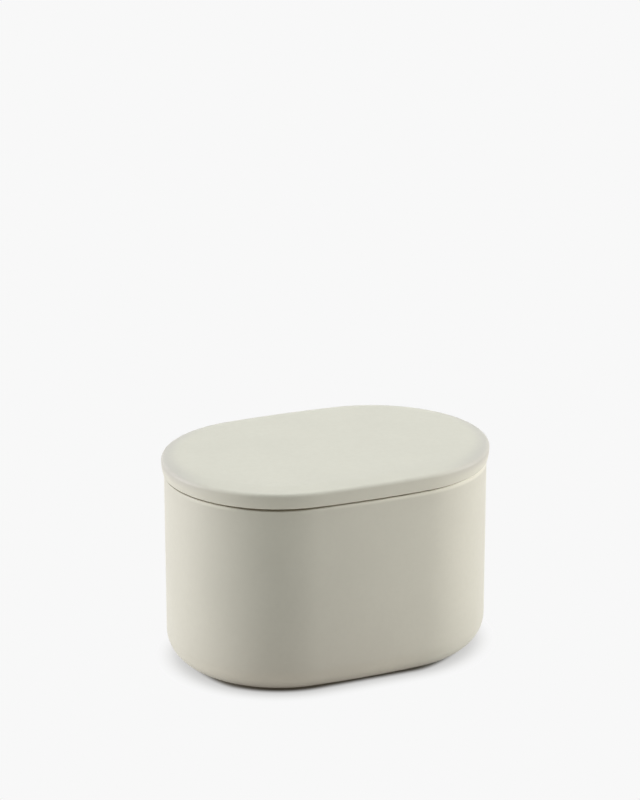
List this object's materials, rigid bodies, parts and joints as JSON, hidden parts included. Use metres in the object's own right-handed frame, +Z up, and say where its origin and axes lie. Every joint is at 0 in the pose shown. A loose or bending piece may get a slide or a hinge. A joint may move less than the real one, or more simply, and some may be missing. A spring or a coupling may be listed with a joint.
{
  "type": "lidded jar",
  "caption": "Straight-sided ceramic jar of stadium plan with half-round ends, a soft lower edge and a flat lift-off lid with a sealing ring.",
  "frame": {"origin": "under the jar's centre, on the surface that it stands on", "axes": "+Z up, the way the lid lifts; +X along the jar's length; +Y across its width"},
  "size_m": [0.1524, 0.1074, 0.0973],
  "materials": {
    "jar_ceramic": "satin-matt pale stone glaze, bare unglazed foot",
    "lid_ceramic": "satin-matt pale stone glaze",
    "seal_silicone": "matt translucent grey silicone"
  },
  "bodies": {
    "jar": {"jar_body": "jar_ceramic"},
    "lid_and_seal": {"lid": "lid_ceramic", "lid_seal": "seal_silicone"}
  },
  "joints": [
    {"name": "lid_lift", "type": "slide", "parent": "jar", "child": "lid_and_seal", "axis": [0, 0, 1], "range_m": [0, 0.08]}
  ]
}
